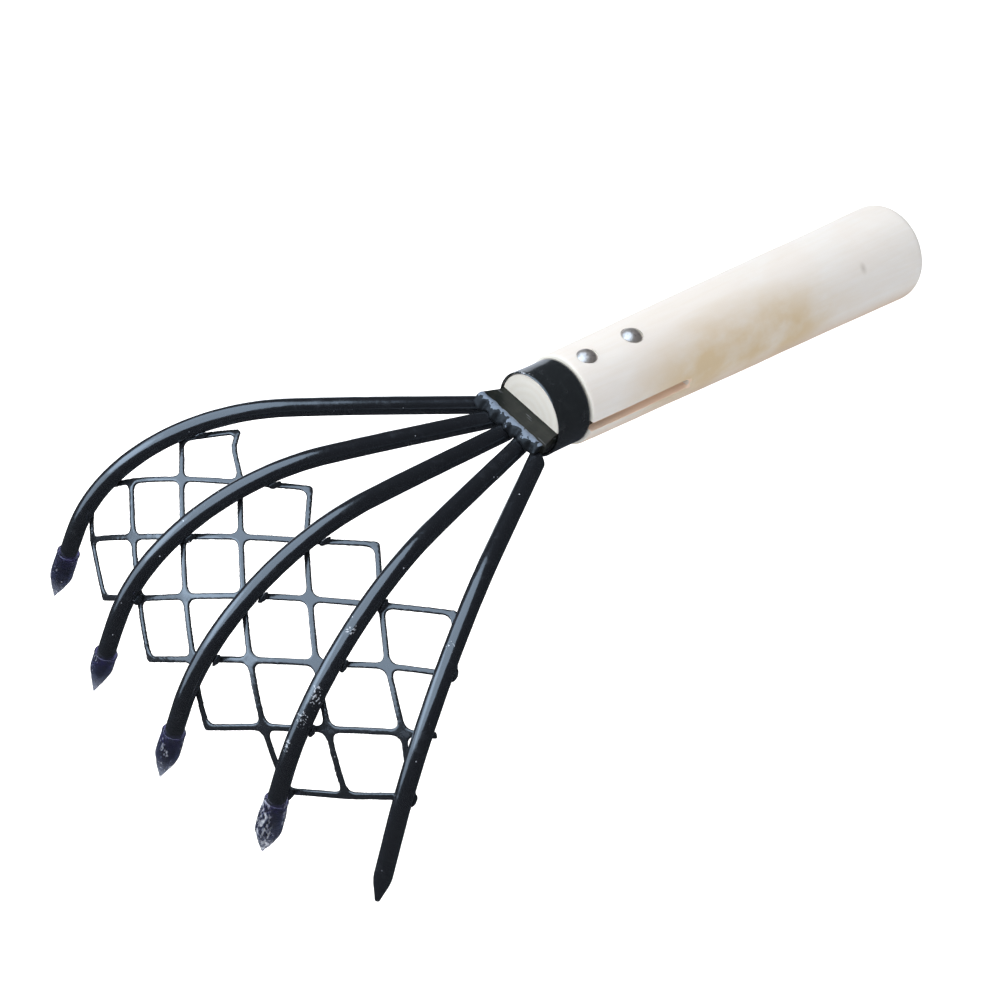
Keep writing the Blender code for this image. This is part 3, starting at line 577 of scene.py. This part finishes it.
def handle_outline():
    """(y, radius) points from the wood's front face to its butt."""
    points = cad_points("handle")
    front, butt = points[:, 1].min(), points[:, 1].max()
    target = skin("handle")
    probe = Vector((math.cos(PROBE_ANGLE), 0.0, math.sin(PROBE_ANGLE)))

    def radius(y):
        hit = target.ray_cast(Vector((0, y, 0)) + probe * PROBE_REACH, -probe)[0]
        return math.hypot(hit.x, hit.z)

    nose = radius(SHOULDER_SEARCH[0])
    full_nose = nose + SHOULDER_RISE
    shoulder = front + next(d for d in np.arange(*SHOULDER_SEARCH) if radius(front + d) > full_nose)
    outline = [(front, 0.6 * nose), (front, nose - NOSE_EDGE), (front + NOSE_EDGE, nose)]
    outline += [(y, nose) for y in np.arange(front + 2.0, shoulder - 0.5, HANDLE_STEP)]
    outline += [(shoulder, nose), (shoulder + 0.05, radius(shoulder + 0.9) - 0.5)]
    outline += [(shoulder + 0.2, radius(shoulder + 0.9) - 0.2), (shoulder + 0.6, radius(shoulder + 0.9))]
    end = butt - BUTT_ROUNDING
    steps = int((end - shoulder) / HANDLE_STEP)
    outline += [(y, radius(y)) for y in np.linspace(shoulder + 1.5, end, steps)]
    full = radius(end)
    for angle in np.radians(np.linspace(8, 90, 12)):
        out = full - BUTT_ROUNDING * (1 - math.cos(angle))
        outline.append((end + BUTT_ROUNDING * math.sin(angle), out))
    outline += [(butt, 0.6 * full), (butt, 0.25 * full)]
    return outline, shoulder


def slot_outline(grow, end, half_height):
    """Slot seen from the side as (y, z) points, enlarged by grow."""
    reach = half_height + grow
    points = [(SLOT_MOUTH, -reach)]
    for angle in np.radians(np.linspace(-90, 90, 13)):
        points.append((end - half_height + reach * math.cos(angle), reach * math.sin(angle)))
    return points + [(SLOT_MOUTH, reach)]


def slot_cutter(radius):
    """Saw kerf right across the handle, flared at both mouths so that its lips are rounded."""
    target = skin("handle")
    inside = Vector((0.6 * radius, 5.0, 0.0))
    end = target.ray_cast(inside, Vector((0, 1, 0)))[0].y
    half_height = target.ray_cast(inside, Vector((0, 0, 1)))[0].z
    bm = bmesh.new()
    rings = []
    mouth = math.sqrt(radius ** 2 - half_height ** 2)
    stations = [(-mouth + depth * SLOT_LIP, growth) for depth, growth in SLOT_FLARE]
    stations += [(-x, g) for x, g in reversed(stations)]
    for x, grow in stations:
        rings.append([bm.verts.new((x, y, z)) for y, z in slot_outline(grow * SLOT_LIP, end, half_height)])
    bridge(bm, rings)
    return bm


def rivet_seat(y, radius):
    """Shank hole with a shallow round seat on both sides."""
    hole = shank_hole_radius(y)
    seat, rim = radius - SEAT_DEPTH, SEAT_RADIUS
    outline = [(-BEYOND, rim), (-seat, rim), (-seat, hole), (seat, hole), (seat, rim), (BEYOND, rim)]
    bm = lathe(outline, SEAT_SEGMENTS)
    stand_up(bm, y)
    return bm


def stand_up(bm, y):
    """Turn a lathed shape upright and move it along the handle."""
    bmesh.ops.rotate(bm, matrix=Matrix.Rotation(math.radians(90), 3, "X"), verts=bm.verts)
    bmesh.ops.translate(bm, vec=(0, y, 0), verts=bm.verts)


def shank_hole_radius(y):
    """Radius of the plate's hole for the rivet at y."""
    points = cad_points("tang_plate")
    near = np.hypot(points[:, 0], points[:, 1] - y)
    return near.min()


def rivet_places():
    """Name, place along the handle, and CAD points of each rivet."""
    for name in ("rivet_front", "rivet_rear"):
        points = cad_points(name)
        yield name, 0.5 * (points[:, 1].min() + points[:, 1].max()), points


def handle_swell(y, angle):
    """Hand-sanded unevenness and one small dent."""
    place = (18 * math.cos(angle), y * 0.35, 18 * math.sin(angle))
    uneven = 0.13 * wobble(place, 9.0, 3.1) + 0.05 * wobble(place, 3.0, 7.7)
    turn = angle - DENT_BEARING
    dent = math.exp(-((y - DENT_PLACE[1]) / DENT_LENGTH) ** 2 - (turn / DENT_SPREAD) ** 2)
    return uneven - DENT_DEPTH * dent


def make_handle(material):
    """Turned grip with its saw kerf and rivet holes."""
    outline, shoulder = handle_outline()

    def swell(y, angle):
        return handle_swell(y, angle) if y > shoulder + 0.3 else 0.0

    handle = solid("wood_handle", lathe(outline, HANDLE_SEGMENTS, swell))
    middle = next(radius for y, radius in outline if y > 40.0)
    subtract(handle, slot_cutter(middle))
    for _, y, _ in rivet_places():
        subtract(handle, rivet_seat(y, middle))
    dress(handle, material, "handle")


# ---------------------------------------------------------------- ferrule, plate, rivets

def make_ferrule(material):
    """Band with rolled edges, a little out of round."""
    points = cad_points("ferrule")
    length, outer = points[:, 1].max(), np.hypot(points[:, 0], points[:, 2]).max()
    inner, lip = outer - FERRULE_WALL, FERRULE_LIP
    section = [(0.0, inner + lip), (0.06, outer - 0.16), (lip, outer), (1.3, outer - 0.05),
               (3.0, outer - 0.09), (length - 2.6, outer - 0.09), (length - 1.1, outer - 0.02),
               (length - lip, outer + 0.05), (length - 0.05, outer - 0.12), (length, inner + lip),
               (length - 0.1, inner + 0.06), (length - lip, inner), (lip, inner), (0.1, inner + 0.06)]

    def swell(y, angle):
        return 0.07 * wobble((6 * math.cos(angle), y * 0.5, 6 * math.sin(angle)), 3.0, 5.0)

    dense = [section[0]]
    for near, far in zip(section, section[1:] + section[:1]):
        pieces = max(1, int(abs(far[0] - near[0]) / FERRULE_STEP))
        dense += [tuple(np.array(near) + (np.array(far) - np.array(near)) * (i + 1) / pieces)
                  for i in range(pieces)]
    bm = lathe(dense[:-1], FERRULE_SEGMENTS, swell, close=True)
    dress(solid("ferrule_band", bm), material, "ferrule", sharp=50)


def finish_plate(material):
    """The CAD plate with its sheared edges eased."""
    plate = frame["nodes"]["tang_plate"]
    ease = plate.modifiers.new("eased_edges", "BEVEL")
    ease.width = 0.35 * MM
    ease.segments = 3
    ease.limit_method = "ANGLE"
    ease.angle_limit = math.radians(50)
    plate.data.materials.clear()
    plate.data.materials.append(material)


def make_rivet(name, y, points, material):
    """Shank with a smooth dome above and a peened, flatter dome below."""
    radial = np.hypot(points[:, 0], points[:, 1] - y)
    head, shank = radial.max(), radial[radial > 1.0].min()
    top = points[:, 2].max()
    rim = points[radial > head - 0.05][:, 2].max()
    rise = top - rim
    sphere = (head ** 2 + rise ** 2) / (2 * rise)
    sweep = math.asin(head / sphere)
    dome = [(rim - RIVET_EDGE, head - RIVET_EDGE), (rim - 0.1, head - 0.06)]
    dome += [(top - sphere * (1 - math.cos(a)), sphere * math.sin(a)) for a in np.linspace(sweep, 0.06, 14)]
    upper = [(rim - 0.3, shank), (rim - 0.28, head - 0.6)] + dome
    lower = [(-along, radius) for along, radius in reversed(upper)]

    def swell(along, angle):
        lumpy = 0.10 if along < 0 else 0.03
        on_head = abs(along) > rim - 0.2
        return lumpy * on_head * wobble((4 * math.cos(angle), 4 * math.sin(angle), along), 2.0, y)

    bm = lathe(lower + upper, RIVET_SEGMENTS, swell)
    stand_up(bm, y)
    dress(solid(name + "_head", bm), material, name)


# ---------------------------------------------------------------- tines

def upright_plane(points):
    """Angle from -Y, in the tool's XY plane, of the direction in which a tine runs."""
    best, span = 0.0, math.radians(60)
    for _ in range(7):
        tries = np.linspace(best - span, best + span, 41)
        widths = [np.ptp(points[:, 0] * math.cos(a) + points[:, 1] * math.sin(a)) for a in tries]
        best = tries[int(np.argmin(widths))]
        span *= 0.12
    return best


def tine_line(node):
    """Centre line from beyond the root to the point, bar radius, and the cut face's y."""
    points = cad_points(node)
    angle = upright_plane(points)
    side = np.array([math.cos(angle), math.sin(angle), 0.0])
    ahead = np.array([math.sin(angle), -math.cos(angle), 0.0])
    across = points @ side
    radius, middle = np.ptp(across) / 2, (across.max() + across.min()) / 2
    rim = points[across > across.max() - 0.002]
    rim = rim[np.argsort(rim @ ahead)] - side * (across.max() - middle)
    line = [rim[0]]
    for point in rim[1:]:
        if np.linalg.norm(point - line[-1]) > 0.8:
            line.append(point)
    line = np.array(line)
    start, end = line[0] - line[1], line[-1] - line[-2]
    start, end = start / np.linalg.norm(start), end / np.linalg.norm(end)
    reach = ((points - line[-1]) @ end).max()
    extra = [line[-1] + end * d for d in np.linspace(0, reach, 4)[1:]]
    line = np.vstack([line[0] + start * SPUR, line, extra])
    return line, radius, side, points[:, 1].max()


def make_tine(node, material, seed):
    """Bent bar with slightly uneven paint, tapered to its point."""
    line, radius, side, root_y = tine_line(node)
    centres, directions = smooth_line(line, TINE_STEP)
    left = np.linalg.norm(np.diff(centres, axis=0), axis=1)
    to_end = np.concatenate((np.cumsum(left[::-1])[::-1], [0.0]))
    distances, shares = zip(*POINT_TAPER)
    bm = bmesh.new()
    rings = []
    angles = np.arange(TINE_SEGMENTS) * 2 * math.pi / TINE_SEGMENTS
    for centre, direction, remaining in zip(centres, directions, to_end):
        up = np.cross(side, direction)
        up *= math.copysign(1.0, up[2])
        base = radius * np.interp(remaining, distances, shares)
        uneven = [0.05 * wobble(centre + radius * (math.cos(a) * side + math.sin(a) * up), 5.0, seed)
                  for a in angles]
        radii = base * (1 + np.array(uneven) / radius)
        rings.append(ring(bm, Vector(centre), Vector(side), Vector(up), radii))
    last = rings[-1]
    tip = Vector(centres[-1])
    rings.append([bm.verts.new(tip + (v.co - tip) * 0.45 + Vector(directions[-1]) * 0.25) for v in last])
    bridge(bm, rings)
    geometry = bm.verts[:] + bm.edges[:] + bm.faces[:]
    cut = bmesh.ops.bisect_plane(bm, geom=geometry, plane_co=(0, root_y, 0), plane_no=(0, 1, 0),
                                 clear_outer=True)
    rim = [item for item in cut["geom_cut"] if isinstance(item, bmesh.types.BMEdge)]
    bmesh.ops.edgeloop_fill(bm, edges=rim)
    dress(solid(node + "_bar", bm), material, node, sharp=60)


# ---------------------------------------------------------------- tip guards

def guard_outline(points, rim, along):
    """Outer (distance from the rim, radius) outline of a CAD guard, smoothed."""
    offsets = points - rim
    depth = offsets @ along
    radius = np.linalg.norm(np.cross(offsets, along), axis=1)
    stations = np.unique(np.round(depth, 1))
    outer = [radius[np.abs(depth - station) < 0.06].max() for station in stations]
    hull = [(stations[0], outer[0])]
    for station, value in zip(stations[1:], outer[1:]):
        while len(hull) > 1 and cross_step(hull[-2], hull[-1], (station, value)) >= 0:
            hull.pop()
        hull.append((station, value))
    return hull


def cross_step(first, second, third):
    """Positive if second lies below the line from first to third."""
    return (second[0] - first[0]) * (third[1] - first[1]) - (second[1] - first[1]) * (third[0] - first[0])


def rim_centre(points, along):
    """Middle of a guard's open end."""
    depth = points @ along
    rim = points[depth < depth.min() + 0.01]
    return Vector((rim.max(axis=0) + rim.min(axis=0)) / 2)


def make_guard(node, sheen_flecks):
    """Clear bellied sleeve with a rolled rim and an unevenly drawn nose."""
    joint = next(j for j in frame["joints"] if j["child"] == node)
    along = (TOOL.to_3x3().inverted() @ Vector(joint["axis"])).normalized()
    points = cad_points(node)
    centre = rim_centre(points, np.array(along))
    stations, radii = zip(*guard_outline(points, np.array(centre), np.array(along)))
    length = stations[-1]
    seed = 1.9 * int(node[-1])
    material = guard_look("clear_" + node, sheen_flecks, centre, centre + along * length, max(radii))
    distances = np.concatenate(([0.0, 0.15, 0.45], np.arange(GUARD_RIM_HEIGHT, length - 0.3, GUARD_STEP)))
    outer = np.interp(distances, stations, radii)
    outer[1:] = np.convolve(np.pad(outer[1:], 2, mode="edge"), np.ones(5) / 5, mode="valid")
    outer[0] -= 0.12
    outer[1:3] += GUARD_RIM_RISE
    side = along.orthogonal().normalized()
    up = along.cross(side)
    bm = bmesh.new()

    def make_ring(distance, radius, share=1.0):
        angles = np.arange(GUARD_SEGMENTS) * 2 * math.pi / GUARD_SEGMENTS
        pinch = min(1.0, distance / length) ** 2
        lumps = np.array([wobble((3 * math.cos(a), 3 * math.sin(a), 0.6 * distance), 1.6, seed)
                          for a in angles])
        return ring(bm, centre + along * distance, side, up, radius + share * lumps * (0.05 + 0.3 * pinch)
                    * min(1.0, radius / 2))

    outside = [make_ring(distance, radius) for distance, radius in zip(distances, outer)]
    inner = [(distance, radius - GUARD_WALL) for distance, radius in zip(distances, outer)
             if radius > 5 * GUARD_WALL]
    inner[0] = (0.0, inner[2][1])
    inside = [make_ring(*item) for item in inner]
    bridge(bm, outside, caps=False)
    bridge(bm, inside, caps=False)
    bridge(bm, [outside[0], inside[0]], caps=False)
    for rings, reach in ((outside, length), (inside, inner[-1][0] + 2 * GUARD_WALL)):
        tip = bm.verts.new(centre + along * reach)
        for i, vert in enumerate(rings[-1]):
            bm.faces.new((vert, rings[-1][(i + 1) % GUARD_SEGMENTS], tip))
    dress(solid(node + "_sleeve", bm), material, node, body=node, sharp=60)


# ---------------------------------------------------------------- stage

def make_floor():
    """Wide sheet under the tool, without shadow or reflection."""
    bm = bmesh.new()
    bmesh.ops.create_grid(bm, x_segments=8, y_segments=8, size=6.0)
    mesh = bpy.data.meshes.new("floor")
    bm.to_mesh(mesh)
    bm.free()
    floor = add_object("floor", mesh)
    floor.location.z = FLOOR_LEVEL * MM
    floor.data.materials.append(floor_look())
    floor.visible_glossy = False
    floor.visible_shadow = False


def outward(azimuth, elevation):
    """Direction from the object to a bearing in degrees; azimuth 0 is the front, 90 the right side."""
    turn, rise = math.radians(azimuth), math.radians(elevation)
    return Vector((math.sin(turn) * math.cos(rise), -math.cos(turn) * math.cos(rise), math.sin(rise)))


def add_light(name, bearing, distance, size, power, colour, unseen_by):
    """Round soft light turned to the middle of the object."""
    data = bpy.data.lights.new(name, "AREA")
    data.shape = "DISK"
    data.size = size
    data.energy = power
    data.color = colour
    light = add_object(name, data)
    back = outward(*bearing)
    light.location = (cad_box[0] + cad_box[1]) / 2 + back * distance
    light.rotation_euler = back.to_track_quat("Z", "Y").to_euler()
    light.visible_camera = False
    setattr(light, "visible_" + unseen_by, False)


def make_world():
    """White to the camera, soft grey-white as light, and dark in reflections."""
    world = bpy.data.worlds.new("studio")
    bpy.context.scene.world = world
    world.use_nodes = True
    tree = world.node_tree
    tree.nodes.clear()
    rays = tree.nodes.new("ShaderNodeLightPath")
    colour = (*WORLD_LIGHT, 1)
    for ray, seen_colour in (("Is Glossy Ray", WORLD_REFLECTED), ("Is Camera Ray", (1.0, 1.0, 1.0))):
        mix = tree.nodes.new("ShaderNodeMixRGB")
        tree.links.new(rays.outputs[ray], mix.inputs["Fac"])
        if isinstance(colour, bpy.types.NodeSocket):
            tree.links.new(colour, mix.inputs["Color1"])
        else:
            mix.inputs["Color1"].default_value = colour
        mix.inputs["Color2"].default_value = (*seen_colour, 1)
        colour = mix.outputs["Color"]
    background = tree.nodes.new("ShaderNodeBackground")
    tree.links.new(colour, background.inputs["Color"])
    output = tree.nodes.new("ShaderNodeOutputWorld")
    tree.links.new(background.outputs["Background"], output.inputs["Surface"])
    bpy.context.scene.view_settings.view_transform = "Standard"


def make_camera():
    """Camera of the reference photograph, rolled a little."""
    back = outward(CAMERA_AZIMUTH, CAMERA_ELEVATION)
    data = bpy.data.cameras.new("camera")
    data.lens = CAMERA_LENS
    data.sensor_width = 36.0
    data.clip_start, data.clip_end = 0.05, 50.0
    camera = add_object("camera", data)
    camera.location = (Vector(CAMERA_TARGET) + back * CAMERA_DISTANCE) * MM
    level = back.to_track_quat("Z", "Y").to_matrix().to_4x4()
    roll = Matrix.Rotation(-math.radians(CAMERA_ROLL), 4, "Z")
    camera.matrix_world = Matrix.Translation(camera.location) @ level @ roll
    bpy.context.scene.camera = camera


# ---------------------------------------------------------------- build

make_handle(wood_look())
# The ferrule's front rim carries painted glints.
make_ferrule(paint_look("ferrule_paint", base=(0.015, 0.018, 0.02), roughness=0.18, speck_amount=0.02,
                        dust_and_glint_patches=FERRULE_GLINTS))
finish_plate(plate_look())
steel = rivet_look()
for rivet, place_y, rivet_points in rivet_places():
    make_rivet(rivet, place_y, rivet_points, steel)
bar_paint = paint_look("bar_paint", dust_and_glint_patches=BAR_DUST_AND_GLINTS)
for number in range(1, 6):
    make_tine(f"tine_{number}", bar_paint, seed=number * 2.3)
for guard, sheen_flecks in GUARD_FLANK_SHEEN.items():
    make_guard(guard, sheen_flecks)
weld = weld_look()
soften("root_weld", "root_weld_bead", weld, WELD_VOXEL, swell=0.3, rough=0.18, grain=2.4, seed=4.0,
       smoothing=16)
net_paint = paint_look("net_paint", base=(0.016, 0.019, 0.024), roughness=0.2, speck_amount=0.05)
soften("net", "net_mesh", net_paint, NET_VOXEL, swell=0.06, rough=0.07, grain=3.0, seed=2.0)
for cad_node in sorted(frame["nodes"]):
    if cad_node.startswith("net_weld"):
        soften(cad_node, cad_node + "_bead", bar_paint, BEAD_VOXEL, swell=0.12, rough=0.18, grain=1.5,
               seed=int(cad_node[-2:]) * 1.3)

make_floor()
make_world()
for light_row in LIGHTS:
    add_light(*light_row)
make_camera()
